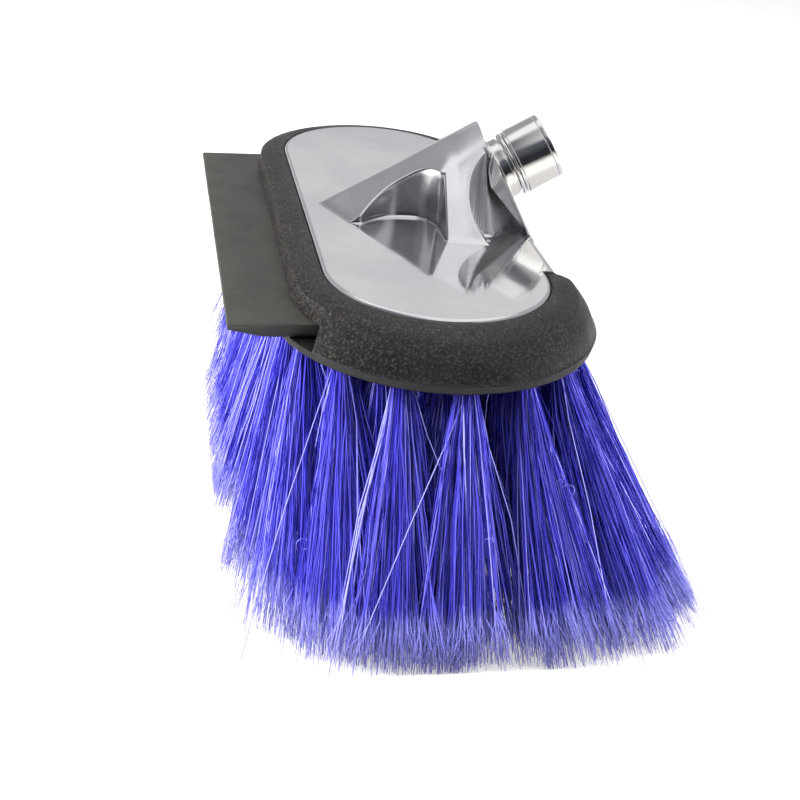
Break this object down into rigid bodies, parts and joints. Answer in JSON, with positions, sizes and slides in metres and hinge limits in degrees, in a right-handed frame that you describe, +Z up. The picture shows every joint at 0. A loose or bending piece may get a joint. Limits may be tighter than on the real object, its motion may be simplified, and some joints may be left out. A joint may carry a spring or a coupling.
{
  "type": "wash brush head",
  "caption": "Flow-through wash brush head: polished cast body with an inclined swivel inlet, rubber bumper, squeegee blade along one side and a flared block of flagged bristles.",
  "frame": {"origin": "on the plane of the bristle tips, under the middle of the cast plate", "axes": "+X across the head towards the inlet, +Y along the head, +Z up from the bristle tips to the cast plate"},
  "size_m": [0.1738, 0.3284, 0.1453],
  "materials": {
    "polished_aluminium": "polished",
    "bright_metal": "bright turned",
    "zinc_steel": "zinc plated",
    "bumper_rubber": "matte moulded",
    "blade_rubber": "matte",
    "seal_rubber": "satin",
    "black_plastic": "moulded",
    "bristle_blue": "drawn and flagged"
  },
  "bodies": {
    "head": {"body_casting": "polished_aluminium", "bumper": "bumper_rubber", "squeegee_blade": "blade_rubber", "block_gasket": "seal_rubber", "brush_block": "black_plastic", "block_screw_1": "zinc_steel", "block_screw_2": "zinc_steel", "block_screw_3": "zinc_steel", "block_screw_4": "zinc_steel", "block_screw_5": "zinc_steel", "block_screw_6": "zinc_steel", "bristles_1": "bristle_blue", "bristles_2": "bristle_blue", "bristles_3": "bristle_blue", "bristles_4": "bristle_blue", "bristles_5": "bristle_blue", "inlet_nipple": "bright_metal", "neck_seal": "seal_rubber", "swivel_seal": "seal_rubber", "thrust_ring": "bright_metal"},
    "swivel": {"swivel_nut": "bright_metal", "hose_washer": "seal_rubber"}
  },
  "joints": [
    {"name": "nut_swivel", "type": "hinge", "parent": "head", "child": "swivel", "pos_m": [0.0365, 0, 0.1215], "axis": [0.8554, 0, 0.518], "continuous": true}
  ]
}
